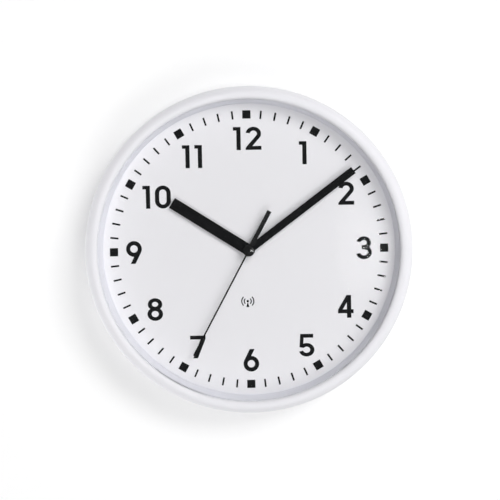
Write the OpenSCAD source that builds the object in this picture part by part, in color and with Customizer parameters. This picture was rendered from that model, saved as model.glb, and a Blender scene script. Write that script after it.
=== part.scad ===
// Round wall clock driven by a radio-controlled movement with two motors.
// Each piece is drawn with x to the right, y up the dial and z away from the wall,
// and upright() then stands it against the wall, facing -Y.

/* [Case] */
// Outer diameter of the bezel
case_d = 255; // [228:1:300]
// Gap between the wall and the back of the movement
wall_gap = 4; // [3:0.5:6]
// Width of the bezel seen from the front
bezel_w = 10.2; // [9.6:0.1:11.4]
// Distance from the bezel's inner lip to its crest
crest_in = 3.6; // [3:0.1:5]
// Height of the bezel's crest over its inner lip
crest_h = 2.4; // [1.6:0.1:3.2]
// Height of the bezel's outer rounding
round_h = 10; // [8:0.5:14]
// How much narrower the bezel is at the wall than in front, on the radius
skirt_draft = 1.6; // [1:0.1:2]
// Wall thickness of the bezel's skirt
skirt_t = 2.4; // [2:0.1:2.8]
// Gap between the wall and the rear edge of the bezel
skirt_gap = 2; // [1:0.5:4]
// Thickness of the bezel's inner lip over the lens
lip_t = 0.5; // [0.4:0.1:1]
// Wall thickness of the rear case
case_t = 2.4; // [2:0.1:2.8]
// Thickness of the floor that carries the dial
floor_t = 2; // [1.6:0.1:2.4]
// Number of snap beads that hold the bezel
snap_count = 6; // [4:1:8]
// Height of a snap bead
snap_h = 0.8; // [0.6:0.1:1]
// Number of ribs on the back of the rear case
rib_count = 12; // [8:4:16]
// Thickness of a rib
rib_t = 1.6; // [1.2:0.1:2]
// Height of a rib over the floor
rib_h = 2.4; // [1.5:0.1:3]
// Width of the gusset at the outer end of a rib
gusset_w = 20; // [12:1:26]

/* [Lens and dial] */
// Thickness of the lens
lens_t = 1.6; // [1.2:0.1:2]
// How far the lens reaches under the bezel's lip
lens_lap = 3.6; // [3:0.1:4]
// Gap between the second hand's cap and the lens
lens_gap = 2.7; // [1.5:0.1:5]
// Distance from the bezel's lip in to the dial's edge
dial_in = 3.3; // [2.4:0.1:5]
// Thickness of the dial
dial_t = 0.4; // [0.3:0.1:0.8]
// Distance from the dial's edge to the middle of the minute track
track_in = 8.4; // [6:0.2:14]
// Side of an hour square
square_w = 6.4; // [4:0.1:7]
// Length of a minute mark
tick_l = 6.4; // [4:0.1:7]
// Width of a minute mark
tick_w = 1.4; // [0.8:0.1:2]
// Thickness of the printed ink
ink_t = 0.1; // [0.05:0.01:0.15]

/* [Hands] */
// Length of the hour hand from the axis
hour_l = 70.3; // [50:0.1:90]
// Width of the hour hand
hour_w = 8.9; // [5:0.1:10]
// Width of the minute hand, which reaches the inner edge of the hour squares
minute_w = 5.9; // [3:0.1:8]
// Length of the second hand from the axis
second_l = 93; // [70:0.5:110]
// Width of the second hand's blade
second_w = 1.2; // [0.8:0.1:2]
// Length of the second hand's tail
tail_l = 34.8; // [20:0.1:45]
// Width of the second hand's tail
tail_w = 3.4; // [2:0.1:5]
// Thickness of a hand
hand_t = 0.5; // [0.4:0.1:0.6]
// Distance between one hand and the next
hand_pitch = 2.1; // [2:0.1:2.4]
// Diameter of the round cap at the middle of the hands
cap_d = 9.2; // [8.8:0.1:12]
// Clockwise angle of the hour hand from twelve
hour_angle = 302.7; // [0:0.1:359.9]
// Clockwise angle of the minute hand from twelve
minute_angle = 53.4; // [0:0.1:359.9]
// Clockwise angle of the second hand from twelve
second_angle = 208.6; // [0:0.1:359.9]

/* [Movement] */
// Wall thickness of the movement's housing
shell_t = 1.2; // [1:0.1:1.3]
// Corner radius of the movement's housing
shell_r = 3; // [2:0.5:4]
// Depth of the housing's front shell
front_shell_h = 8; // [7.5:0.5:9]
// Outer radius of the bush that passes through the dial
bush_r = 3.8; // [3.6:0.05:4]
// Length of the bush in front of the dial
bush_h = 1.2; // [0.8:0.1:1.4]
// Outer radius of the hour tube
hour_tube_r = 2.65; // [2.55:0.05:2.75]
// Outer radius of the minute tube
minute_tube_r = 1.5; // [1.4:0.01:1.55]
// Radius of the seconds arbor
second_arbor_r = 0.6; // [0.5:0.05:0.65]
// Radius of the other steel arbors
arbor_r = 0.6; // [0.45:0.05:0.62]
// Radial running clearance of arbors and tubes
run_fit = 0.08; // [0.05:0.01:0.1]
// Thickness of the middle plate
plate_t = 0.8; // [0.6:0.1:1]

/* [Gear train] */
// Module of the first wheels and of the seconds train
fine_module = 0.35; // [0.34:0.005:0.36]
// Module of the third wheel, the minute wheel and the motion work
coarse_module = 0.4; // [0.39:0.005:0.41]
// Slack cut from each tooth at the pitch circle
tooth_slack = 0.08; // [0.06:0.01:0.12]
// Extra distance between two meshing centres
mesh_gap = 0.03; // [0.02:0.01:0.06]
// Thickness of a wheel
wheel_t = 0.8; // [0.7:0.05:0.85]
// Gap between one layer of wheels and the next
wheel_gap = 0.65; // [0.6:0.05:0.7]

/* [Motors] */
// Radius of a rotor magnet
magnet_r = 2.2; // [1.8:0.1:2.3]
// Height of a rotor magnet
magnet_h = 2.4; // [1.8:0.1:2.6]
// Radial gap between a rotor and its stator
air_gap = 0.4; // [0.3:0.05:0.6]
// Thickness of a stator plate
stator_t = 1; // [0.8:0.1:1.1]
// Width of a stator bar at the rotor
stator_w = 7; // [6.6:0.2:7.4]
// Distance from a rotor to the middle of a stator arm
arm_offset = 9; // [8.4:0.1:9.4]
// Radius of a motor coil
coil_r = 2.3; // [2:0.05:2.4]
// Thickness of a coil's core
core_t = 0.8; // [0.6:0.1:1]

/* [Battery and electronics] */
// Diameter of the AA cell
cell_d = 14.5; // [14:0.1:14.7]
// Length of the AA cell with its button
cell_l = 50.5; // [49:0.1:52]
// Width of the housing beyond the positive end of the battery bay
bay_side = 4.1; // [3:0.1:6]
// Length of the negative contact's spring
spring_l = 6.4; // [5.5:0.1:6.6]
// Turns of the negative contact's spring
spring_turns = 4; // [3:1:5]
// Radius of the spring's wire
wire_r = 0.3; // [0.2:0.05:0.4]
// Thickness of the battery contacts
contact_t = 0.4; // [0.3:0.05:0.5]
// Width of the battery contacts
contact_w = 11; // [9:0.5:12]
// Thickness of the circuit board
board_t = 1; // [0.8:0.1:1.2]
// Radius of a rear push button
button_r = 2.4; // [2:0.1:2.6]
// How far a push button stands out of the housing
button_out = 1; // [0.7:0.1:1.4]
// Travel of a push button
button_travel = 0.6; // [0.3:0.1:0.7]
// Radius of the ferrite rod
ferrite_r = 4; // [3:0.1:4.2]
// Length of the ferrite rod
ferrite_l = 56; // [40:1:58]
// Radius of the antenna coil
antenna_r = 5.2; // [4.8:0.1:5.3]
// Length of the antenna coil
antenna_l = 18; // [12:1:24]

/* [Hanger] */
// Radius of the keyhole's round entry
key_r = 4.6; // [4:0.1:5.5]
// Radius of the keyhole's slot
key_slot_r = 2.2; // [1.5:0.1:2.5]
// Length of the keyhole from the entry to the top of the slot
key_l = 8; // [6:0.5:10]
// Thickness of the hanger plate
hanger_t = 1.2; // [1:0.1:1.6]
// Height of the hanger plate along the dial
hanger_h = 20; // [18:1:24]
// Distance from the rear case's outer wall in to the middle of the hanger plate
hanger_in = 28.2; // [22:0.2:34]
// Half the distance between the hanger's two screws
hanger_x = 14; // [12:0.5:16]
// Length of plate beyond each of the hanger's screws
hanger_side = 5; // [4:0.5:7]
// Depth to which a screw bites in its post
screw_bite = 4.5; // [3:0.5:5]

/* [Hidden] */
$fn = 96;

// Small amount by which cuts overshoot
cut = 0.5;
// Clearance between pieces that seat in each other
seat_gap = 0.3;

// Radii of the bezel, the lens, the rear case and the dial
case_r = case_d / 2;
lip_r = case_r - bezel_w;
crest_r = lip_r + crest_in;
crest_step = 9;
lens_r = lip_r + lens_lap;
dial_r = lip_r - dial_in;
track_r = dial_r - track_in;
skirt_in_rear = case_r - skirt_draft - skirt_t;
wall_r = skirt_in_rear - seat_gap;
flange_r = case_r - skirt_t - seat_gap - 0.4;
flange_t = 2.2;
foot_h = skirt_gap + 1.5;
foot_r = wall_r - snap_h - seat_gap;
bowl_r = dial_r + seat_gap;
bowl_top_r = lip_r - 0.4;
bowl_t = 2;
hole_r = bush_r + 0.2;

// Depth inside the housing: it holds the wheels and motors, and the cell beside them
layer = wheel_t + wheel_gap;
front_gap = 0.8;
plate_drop = 0.45;
stator_drop = 1.6;
coil_flange = 0.4;
coil_clear = 0.4;
cell_back_gap = 0.25;
cell_front_gap = 1.45;
train_depth = front_gap - wheel_gap + 6 * layer + plate_drop + plate_t + stator_drop + stator_t
  + core_t / 2 + coil_r + coil_flange + coil_clear;
cell_depth = cell_back_gap + cell_d + cell_front_gap;

// Levels from the wall forwards: movement, floor, dial, hands, lens and lip
move_back = wall_gap;
inner_back = move_back + shell_t;
inner_front = inner_back + max(train_depth, cell_depth);
move_front = inner_front + shell_t;
split_z = move_front - front_shell_h;
floor_back = move_front;
floor_top = floor_back + floor_t;
dial_level = floor_top + dial_t;
bush_top = dial_level + bush_h;
hour_z = bush_top + 0.9;
minute_z = hour_z + hand_pitch;
second_z = minute_z + hand_pitch;
cap_sink = 0.6;
cap_h = 2.1;
lens_back = second_z - cap_sink + cap_h + lens_gap;
lens_top = lens_back + lens_t;
lip_top = lens_top + lip_t;
case_depth = lip_top + crest_h;

// Layers of wheels, counted from the front
function layer_z(n) = inner_front - front_gap + wheel_gap - n * layer;
plate_top = layer_z(6) - plate_drop;
plate_back = plate_top - plate_t;
pinion_rise = 0.2;

// Teeth of the wheels and pinions
seconds_teeth = 50;
seconds_pinion = 10;
seconds_third_teeth = 48;
rotor_pinion = 8;
minute_teeth = 30;
third_pinion = 10;
third_teeth = 32;
first_pinion = 8;
first_teeth = 40;
cannon_pinion = 10;
motion_teeth = 30;
motion_pinion = 8;
hour_teeth = 32;

// Distance between two meshing centres, and a point at a distance and an angle from another
function mesh_distance(m, a, b) = m * (a + b) / 2 + mesh_gap;
function polar(from, d, angle) = [from[0] + d * cos(angle), from[1] + d * sin(angle)];
// Phase of a gear with b teeth that meshes with one of a teeth and phase p, seen at an angle
function mesh_phase(p, a, angle, b) = angle + 180 + ((angle - p) * a / 360 - 0.5) * 360 / b;

// Plan of the two trains round the hands' axis
centre = [0, 0];
s_third_at = polar(centre, mesh_distance(fine_module, seconds_teeth, seconds_pinion), 140);
s_third_phase = mesh_phase(0, seconds_teeth, 140, seconds_pinion);
s_rotor_at = polar(s_third_at, mesh_distance(fine_module, seconds_third_teeth, rotor_pinion), 180);
s_rotor_phase = mesh_phase(s_third_phase, seconds_third_teeth, 180, rotor_pinion);
m_third_at = polar(centre, mesh_distance(coarse_module, minute_teeth, third_pinion), 30);
m_third_phase = mesh_phase(0, minute_teeth, 30, third_pinion);
m_first_at = polar(m_third_at, mesh_distance(coarse_module, third_teeth, first_pinion), 0);
m_first_phase = mesh_phase(m_third_phase, third_teeth, 0, first_pinion);
m_rotor_at = polar(m_first_at, mesh_distance(fine_module, first_teeth, rotor_pinion), -45);
m_rotor_phase = mesh_phase(m_first_phase, first_teeth, -45, rotor_pinion);
motion_at = polar(centre, mesh_distance(coarse_module, cannon_pinion, motion_teeth), -90);
motion_phase = mesh_phase(0, cannon_pinion, -90, motion_teeth);
hour_phase = mesh_phase(motion_phase, motion_pinion, 90, hour_teeth);

// Width inside the housing: it holds the battery bay, the motors and the ferrite rod
arm_half = 1.5;
arm_reach = arm_offset + arm_half;
coil_side = 0.8;
bay_width = contact_t + spring_l + seat_gap + cell_l + seat_gap + contact_t + shell_t + bay_side;
motor_width = 2 * (m_rotor_at[0] + stator_w / 2 + 1 + 2 * (coil_r + coil_flange) + coil_side);
inner_w = max(bay_width, motor_width, ferrite_l + 4);
inner_r = 1;
move_w = inner_w + 2 * shell_t;

// Battery bay below the motion wheel, from the negative plate on the left to the positive plate
cell_r = cell_d / 2;
bay_half = cell_r + 0.5;
bay_top = motion_at[1] - coarse_module * (motion_teeth / 2 + 0.9) - 0.6 - shell_t;
cell_y = bay_top - bay_half;
cell_x = -inner_w / 2 + contact_t + spring_l + seat_gap;
cell_z = inner_back + cell_back_gap + cell_r;
cell_end = cell_x + cell_l;
bay_end = cell_end + seat_gap + contact_t;

// Middle plate: it is stepped round the receiver board, and stands on four posts
plate_half = inner_w / 2 - 0.3;
plate_low = bay_top + shell_t + 0.3;
plate_step = [s_rotor_at[0] + stator_w / 2 + 3.2, m_rotor_at[1] + arm_reach + 1.85];
plate_high = s_rotor_at[1] + arm_reach + 1.3;
plate_posts = [[-12, plate_low + 4.7], [10, plate_low + 4.7],
               [10, plate_step[1] - 2.4], [plate_step[0] - 1.4, plate_high - 3]];

// Receiver board, and the places of what stands on it and under it
board_z = inner_back + 3.2;
board_x = [plate_step[0] + 0.8, inner_w / 2 - 7.8];
board_y = [plate_step[1] + 1, plate_step[1] + 15.6];
board_posts = [for (x = [board_x[0] + 1.8, board_x[1] - 1.8], y = [board_y[0] + 1.6, board_y[1] - 1.6]) [x, y]];
button_pitch = 10;
button_at = [for (k = [0:2]) [board_x[0] + 6.4 + k * button_pitch, board_y[1] - 7]];
button_flange = 0.7;
button_flange_t = 0.6;
chip_at = [board_x[0] + 14.4, board_y[1] - 6];
chip_r = 3.6;
crystal_at = [board_x[1] - 12, board_y[0] + 3];
crystal_l = 6;

// The antenna lies above the board, and the housing closes round both
flange_rise = 0.6;
antenna_y = board_y[1] + 0.5 + antenna_r + flange_rise;
antenna_z = (inner_front + inner_back) / 2;
move_bottom = cell_y - bay_half - shell_t;
move_top = antenna_y + antenna_r + flange_rise + 0.4 + shell_t;
move_h = move_top - move_bottom;
move_mid_y = (move_top + move_bottom) / 2;

// Tubes and hands
minute_bore_r = second_arbor_r + run_fit;
hour_bore_r = minute_tube_r + run_fit;
bush_bore_r = hour_tube_r + run_fit;
minute_l = track_r - square_w / 2;
cap_r = cap_d / 2;
press_fit = 0.02;

// Motors
stator_z = plate_back - stator_drop - stator_t;
core_z = stator_z - core_t;
coil_z = core_z + core_t / 2;
coil_x = inner_w / 2 - coil_r - coil_flange - coil_side;
rotor_z = stator_z + (stator_t - magnet_h) / 2;
core_w = 2 * arm_half;
rotor_arbor_r = 0.4;
rotor_hole_r = magnet_r + air_gap;
spindle_r = 0.8;

// Hanger and fastenings
hanger_y = wall_r - hanger_in;
hanger_z = wall_gap;
post_r = 3.6;
screw_r = 1.4;
screw_head_r = 2.8;
screw_head_h = 1.4;
ear_z = split_z + 0.4;
ear_t = 2;
ear_x = move_w / 2 + 4.6;
ear_y = 4;

module upright() {
  rotate([90, 0, 0]) children();
}

// Points on an elliptic arc
function arc(cx, cy, rx, ry, from, to, n) =
  [for (i = [0:n]) let (a = from + (to - from) * i / n) [cx + rx * cos(a), cy + ry * sin(a)]];

module rounded_plate(w, h, r) {
  square([w - 2 * r, h], center = true);
  square([w, h - 2 * r], center = true);
  for (x = [-1, 1], y = [-1, 1])
    translate([x * (w / 2 - r), y * (h / 2 - r)]) circle(r);
}

module ring(outer, inner, h) {
  difference() {
    cylinder(r = outer, h = h);
    translate([0, 0, -cut]) cylinder(r = inner, h = h + 2 * cut);
  }
}

// Flat gear with radial flanks below the pitch circle and rounded tips above it
module gear_outline(teeth, m, phase) {
  pitch = m * teeth / 2;
  half = (PI * m / 4 - tooth_slack / 2) / pitch * 180 / PI;
  root = pitch - 1.2 * m;
  shoulder = pitch + 0.5 * m;
  tip = pitch + 0.9 * m;
  flank = [[root, -1], [pitch, -1], [shoulder, -0.8], [tip, -0.42],
           [tip, 0.42], [shoulder, 0.8], [pitch, 1], [root, 1]];
  polygon([for (k = [0:teeth - 1], p = flank)
    let (a = phase + 360 * k / teeth + p[1] * half) [p[0] * cos(a), p[0] * sin(a)]]);
}

module gear(teeth, m, phase, h) {
  linear_extrude(h) gear_outline(teeth, m, phase);
}

// A wheel's web is opened by round holes, as moulded clock wheels are
module wheel(teeth, m, phase, hub_r) {
  root = m * teeth / 2 - 1.2 * m;
  hole_r = (root - hub_r) * 0.32;
  hole_at = (root + hub_r) / 2;
  difference() {
    gear(teeth, m, phase, wheel_t);
    for (k = [0:4])
      rotate([0, 0, phase + 72 * k]) translate([hole_at, 0, -cut]) cylinder(r = hole_r, h = wheel_t + 2 * cut);
  }
}

// Bezel: a draughted skirt, a rounded front and a lip that holds the lens
bezel_profile = concat(
  [[case_r - skirt_draft, skirt_gap]],
  arc(crest_r, case_depth - round_h, case_r - crest_r, round_h, 0, 90, 20),
  arc(crest_r, lip_top, crest_in, crest_h, 90 + crest_step, 180, 9),
  [[lip_r, lens_top], [lens_r + seat_gap, lens_top], [lens_r + seat_gap, lens_back],
   [case_r - skirt_t, lens_back], [skirt_in_rear, skirt_gap]]
);

module front_bezel() {
  color("white") upright() {
    rotate_extrude($fn = 180) polygon(bezel_profile);
    for (k = [0:snap_count - 1])
      rotate([0, 0, 360 * k / snap_count]) rotate_extrude(angle = 14, $fn = 180)
        polygon([[foot_r + seat_gap, skirt_gap], [skirt_in_rear + 0.8, skirt_gap],
                 [skirt_in_rear + 0.8, skirt_gap + 1.2], [wall_r, skirt_gap + 1.2],
                 [foot_r + seat_gap, skirt_gap + 0.7]]);
  }
}

module lens() {
  color([0.9, 0.95, 1, 0.3]) upright()
    translate([0, 0, lens_back]) cylinder(r = lens_r, h = lens_t, $fn = 180);
}

// Rear case: floor, sloping bowl wall, flange under the lens and outer wall down to the wall
case_profile = [
  [hole_r, floor_back], [bowl_r + bowl_t - 0.2, floor_back],
  [bowl_top_r + bowl_t, lens_back - flange_t], [wall_r - case_t, lens_back - flange_t],
  [wall_r - case_t, 0], [foot_r, 0], [foot_r, foot_h], [wall_r, foot_h],
  [wall_r, lens_back - flange_t - 1], [flange_r, lens_back - flange_t], [flange_r, lens_back],
  [bowl_top_r, lens_back], [bowl_r, floor_top],
  [hole_r, floor_top]
];

pocket_w = move_w + 2 * seat_gap;
pocket_h = move_h + 2 * seat_gap;
rib_start = norm([pocket_w / 2, move_top]) + 2;

module case_rib() {
  gusset_r = wall_r - case_t - gusset_w;
  rotate([90, 0, 0]) linear_extrude(rib_t, center = true)
    polygon([[rib_start, floor_back + 0.4], [rib_start, floor_back - rib_h], [gusset_r, floor_back - rib_h],
             [wall_r - case_t + 0.4, foot_h + 3], [wall_r - case_t + 0.4, floor_back + 0.4]]);
}

module movement_pocket() {
  rim = 1.6;
  translate([0, move_mid_y, floor_back - 2.6]) linear_extrude(2.8) difference() {
    rounded_plate(pocket_w + 2 * rim, pocket_h + 2 * rim, shell_r + rim);
    rounded_plate(pocket_w, pocket_h, shell_r);
  }
}

module screw_post(at, from, r) {
  translate([at[0], at[1], from]) ring(r, screw_r + 0.05, floor_back + 0.2 - from);
}

module rear_case() {
  color("whitesmoke") upright() {
    rotate_extrude($fn = 180) polygon(case_profile);
    for (k = [0:rib_count - 1])
      rotate([0, 0, 180 / rib_count + 360 * k / rib_count]) case_rib();
    movement_pocket();
    for (x = [-1, 1]) {
      screw_post([x * hanger_x, hanger_y], hanger_z + hanger_t, post_r);
      screw_post([x * ear_x, ear_y], ear_z + ear_t, 2.8);
    }
  }
}

module dial() {
  color("white") upright() translate([0, 0, floor_top]) ring(dial_r, hole_r, dial_t, $fn = 180);
}

module dial_marks() {
  color([0.1, 0.1, 0.1]) upright() translate([0, 0, dial_level])
    for (k = [0:59])
      rotate([0, 0, 6 * k]) translate([0, track_r, ink_t / 2])
        if (k % 5 == 0) cube([square_w, square_w, ink_t], center = true);
        else cube([tick_w, tick_l, ink_t], center = true);
}

// Straight hand with a round hub, a square tip and a pressed collar behind it
module bar_hand(length, w, hub, tube_r, z, angle) {
  rotate([0, 0, -angle]) {
    difference() {
      union() {
        translate([0, 0, z]) linear_extrude(hand_t) {
          circle(hub);
          translate([-w / 2, 0]) square([w, length]);
        }
        translate([0, 0, z - 0.7]) cylinder(r = tube_r + 0.9, h = 0.8);
      }
      translate([0, 0, z - 1]) cylinder(r = tube_r + press_fit, h = hand_t + 2);
    }
  }
}

module hour_hand() {
  color([0.08, 0.08, 0.08]) upright()
    bar_hand(hour_l, hour_w, cap_r + 0.2, hour_tube_r, hour_z, hour_angle);
}

module minute_hand() {
  color([0.08, 0.08, 0.08]) upright()
    bar_hand(minute_l, minute_w, cap_r + 0.1, minute_tube_r, minute_z, minute_angle);
}

// Second hand: a thin blade, a broad tail and a domed cap pressed on the arbor
module second_hand() {
  color([0.08, 0.08, 0.08]) upright() rotate([0, 0, -second_angle]) difference() {
    union() {
      translate([0, 0, second_z]) linear_extrude(hand_t) {
        translate([-second_w / 2, 0]) square([second_w, second_l]);
        translate([-tail_w / 2, -tail_l]) square([tail_w, tail_l]);
      }
      translate([0, 0, second_z - cap_sink]) rotate_extrude()
        polygon(concat([[0, 0], [cap_r - 0.6, 0], [cap_r, 0.5]],
                       arc(cap_r - 0.7, cap_h - 0.8, 0.7, 0.6, 0, 90, 6), [[0, cap_h]]));
    }
    translate([0, 0, second_z - 1]) cylinder(r = second_arbor_r + press_fit, h = 1.8);
  }
}

// Movement housing, open in front and behind; the two shells meet at split_z
module shell_walls(from, to) {
  translate([0, move_mid_y, from]) linear_extrude(to - from) difference() {
    rounded_plate(move_w, move_h, shell_r);
    rounded_plate(inner_w, move_h - 2 * shell_t, inner_r);
  }
  translate([-inner_w / 2 - 0.2, bay_top, from]) cube([inner_w + 0.4, shell_t, to - from]);
  translate([bay_end, cell_y - bay_half - 0.2, from]) cube([shell_t, 2 * bay_half + 0.4, to - from]);
}

module shell_plate(z, h) {
  translate([0, move_mid_y, z]) linear_extrude(h) rounded_plate(move_w, move_h, shell_r);
}

// Blind bearing boss with its mouth at z1; a negative height grows towards the back
module bearing(at, z0, z1, r, bore) {
  translate([at[0], at[1], min(z0, z1)]) difference() {
    cylinder(r = r, h = abs(z1 - z0));
    translate([0, 0, z1 > z0 ? 0.5 : -cut]) cylinder(r = bore, h = abs(z1 - z0) - 0.5 + cut);
  }
}

module cell_saddles(z0, z1) {
  for (x = [cell_x + 9, cell_end - 11])
    difference() {
      translate([x, cell_y - bay_half - 0.2, z0]) cube([2, 2 * bay_half + 0.4, z1 - z0]);
      translate([x - 1, cell_y, cell_z]) rotate([0, 90, 0]) cylinder(r = cell_r + seat_gap, h = 4);
    }
}

module movement_front_shell() {
  color([0.92, 0.92, 0.9]) upright() {
    difference() {
      union() {
        shell_plate(inner_front, shell_t);
        cylinder(r = bush_r, h = bush_top);
      }
      translate([0, 0, -cut]) cylinder(r = bush_bore_r, h = bush_top + 2 * cut);
      translate([0, 0, -cut]) cylinder(r = bush_r + 1, h = inner_front + cut);
    }
    shell_walls(split_z, inner_front + 0.1);
    cell_saddles(split_z, inner_front + 0.1);
    bearing(s_third_at, inner_front + 0.1, layer_z(4), 1.5, arbor_r + run_fit);
    bearing(m_first_at, inner_front + 0.1, layer_z(3), 1.5, arbor_r + run_fit);
    bearing(s_rotor_at, inner_front + 0.1, layer_z(5) + 0.6, 1.4, rotor_arbor_r + run_fit);
    bearing(m_rotor_at, inner_front + 0.1, layer_z(5) + 0.6, 1.4, rotor_arbor_r + run_fit);
    for (p = [[m_third_at, layer_z(4) - 0.3], [motion_at, layer_z(2) - 0.3]])
      translate([p[0][0], p[0][1], p[1]]) cylinder(r = arbor_r, h = inner_front + 0.1 - p[1]);
    for (i = [0, 1])
      translate([plate_posts[i][0], plate_posts[i][1], plate_top]) cylinder(r = 1.3, h = inner_front + 0.1 - plate_top);
    for (x = [-1, 1]) {
      difference() {
        translate([x * (move_w / 2 + ear_x) / 2 - ear_x / 2 + move_w / 4 - 0.2, ear_y - 3, ear_z])
          cube([ear_x - move_w / 2 + 0.4, 6, ear_t]);
        translate([x * ear_x, ear_y, ear_z - cut]) cylinder(r = screw_r + 0.2, h = ear_t + 2 * cut);
      }
      difference() {
        translate([x * ear_x, ear_y, ear_z]) cylinder(r = 3, h = ear_t);
        translate([x * ear_x, ear_y, ear_z - cut]) cylinder(r = screw_r + 0.2, h = ear_t + 2 * cut);
      }
    }
  }
}

module movement_rear_shell() {
  color([0.92, 0.92, 0.9]) upright() {
    difference() {
      shell_plate(move_back, shell_t);
      translate([-inner_w / 2, cell_y - bay_half, move_back - cut])
        cube([bay_end + inner_w / 2, 2 * bay_half, shell_t + 2 * cut]);
      for (p = button_at)
        translate([p[0], p[1], move_back - cut]) cylinder(r = button_r + 0.2, h = shell_t + 2 * cut);
    }
    shell_walls(inner_back - 0.1, split_z);
    bearing(centre, inner_back - 0.1, inner_back + 2, 1.9, second_arbor_r + run_fit);
    bearing(s_rotor_at, inner_back - 0.1, rotor_z - 0.4, 1.4, rotor_arbor_r + run_fit);
    bearing(m_rotor_at, inner_back - 0.1, rotor_z - 0.4, 1.4, rotor_arbor_r + run_fit);
    for (p = plate_posts)
      translate([p[0], p[1], inner_back - 0.1]) cylinder(r = 1.3, h = plate_back - inner_back + 0.1);
    for (p = board_posts)
      translate([p[0], p[1], inner_back - 0.1]) cylinder(r = 1.4, h = board_z - inner_back + 0.1);
    for (x = [-0.38, 0.38])
      difference() {
        translate([x * ferrite_l - 1, antenna_y - ferrite_r - 0.6, inner_back - 0.1])
          cube([2, 2 * ferrite_r + 1.2, antenna_z - inner_back]);
        translate([x * ferrite_l - 2, antenna_y, antenna_z]) rotate([0, 90, 0]) cylinder(r = ferrite_r + 0.05, h = 4);
      }
  }
}

// Middle plate: it carries the rear pivots, and the two stators hang behind it
module middle_plate() {
  color([0.85, 0.85, 0.82]) upright() {
    difference() {
      translate([0, 0, plate_back]) linear_extrude(plate_t)
        polygon([[-plate_half, plate_low], [plate_half, plate_low], [plate_half, plate_step[1]],
                 plate_step, [plate_step[0], plate_high], [-plate_half, plate_high]]);
      translate([0, 0, plate_back - cut]) cylinder(r = second_arbor_r + run_fit, h = plate_t + 2 * cut);
      for (p = [s_third_at, m_first_at])
        translate([p[0], p[1], plate_back - cut]) cylinder(r = arbor_r + run_fit, h = plate_t + 2 * cut);
      for (p = [s_rotor_at, m_rotor_at])
        translate([p[0], p[1], plate_back - cut]) cylinder(r = rotor_hole_r, h = plate_t + 2 * cut);
    }
    for (s = [[s_rotor_at, -1], [m_rotor_at, 1]], y = [-1, 1])
      translate([s[0][0] + s[1] * 1.2, s[0][1] + y * arm_offset, stator_z + stator_t]) {
        cylinder(r = 1.3, h = stator_drop + 0.1);
        translate([0, 0, -stator_t]) cylinder(r = spindle_r, h = stator_t + 0.1);
      }
  }
}

// Screw whose head lies behind a plate of a given thickness
module screw(plate) {
  cylinder(r = screw_r, h = plate + screw_bite);
  translate([0, 0, -screw_head_h]) cylinder(r = screw_head_r, h = screw_head_h);
}

module movement_screws() {
  color("silver") upright() for (x = [-1, 1])
    translate([x * ear_x, ear_y, ear_z]) screw(ear_t);
}

// Wheels of the seconds train
module seconds_wheel() {
  color([0.96, 0.94, 0.85]) upright() {
    difference() {
      union() {
        translate([0, 0, layer_z(5)]) wheel(seconds_teeth, fine_module, 0, 1.6);
        translate([0, 0, layer_z(5) - 0.4]) cylinder(r = 1.6, h = wheel_t + 0.8);
      }
      translate([0, 0, layer_z(5) - 1]) cylinder(r = second_arbor_r - 0.2, h = wheel_t + 2);
    }
    translate([0, 0, inner_back + 0.6]) cylinder(r = second_arbor_r, h = second_z + 0.6 - inner_back - 0.6);
  }
}

// A wheel with a pinion in front of it and a steel arbor through both
module wheel_and_pinion(teeth, m, pinion, pinion_m, phase, z, pinion_top) {
  translate([0, 0, z]) wheel(teeth, m, phase, 1.4);
  translate([0, 0, z]) gear(pinion, pinion_m, phase, pinion_top - z);
}

module seconds_third_wheel() {
  color([0.96, 0.94, 0.85]) upright() translate([s_third_at[0], s_third_at[1], 0]) {
    wheel_and_pinion(seconds_third_teeth, fine_module, seconds_pinion, fine_module,
                     s_third_phase, layer_z(6), layer_z(5) + wheel_t + pinion_rise);
    translate([0, 0, plate_back]) cylinder(r = arbor_r, h = layer_z(4) + 1.4 - plate_back);
  }
}

module rotor(at, phase, m) {
  pinion_z = layer_z(6) - pinion_rise;
  translate([at[0], at[1], 0]) {
    translate([0, 0, rotor_z - 1.6]) cylinder(r = rotor_arbor_r, h = layer_z(5) + 1.4 - rotor_z + 1.6);
    translate([0, 0, rotor_z]) cylinder(r = magnet_r, h = magnet_h);
    translate([0, 0, rotor_z + magnet_h - 0.1]) cylinder(r = 0.9, h = pinion_z - rotor_z - magnet_h + 0.2);
    translate([0, 0, pinion_z]) gear(rotor_pinion, m, phase, wheel_t + 2 * pinion_rise);
  }
}

module seconds_rotor() {
  color([0.3, 0.3, 0.32]) upright() rotor(s_rotor_at, s_rotor_phase, fine_module);
}

// Wheels of the minute train
module minute_wheel() {
  color([0.96, 0.94, 0.85]) upright() difference() {
    union() {
      translate([0, 0, layer_z(3)]) wheel(minute_teeth, coarse_module, 0, 2.6);
      translate([0, 0, layer_z(3)]) gear(cannon_pinion, coarse_module, 0, layer + wheel_t + pinion_rise);
      translate([0, 0, layer_z(3)]) cylinder(r = minute_tube_r, h = minute_z + hand_t + 0.3 - layer_z(3));
    }
    translate([0, 0, layer_z(3) - cut]) cylinder(r = minute_bore_r, h = minute_z + 2 - layer_z(3));
  }
}

module on_post(at) {
  translate([at[0], at[1], 0]) difference() {
    children();
    cylinder(r = arbor_r + run_fit, h = case_depth);
  }
}

module minute_third_wheel() {
  color([0.96, 0.94, 0.85]) upright() on_post(m_third_at)
    wheel_and_pinion(third_teeth, coarse_module, third_pinion, coarse_module,
                     m_third_phase, layer_z(4), layer_z(3) + wheel_t + pinion_rise);
}

module minute_first_wheel() {
  color([0.96, 0.94, 0.85]) upright() translate([m_first_at[0], m_first_at[1], 0]) {
    wheel_and_pinion(first_teeth, fine_module, first_pinion, coarse_module,
                     m_first_phase, layer_z(6), layer_z(4) + wheel_t + pinion_rise);
    translate([0, 0, plate_back]) cylinder(r = arbor_r, h = layer_z(3) + 1.4 - plate_back);
  }
}

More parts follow.
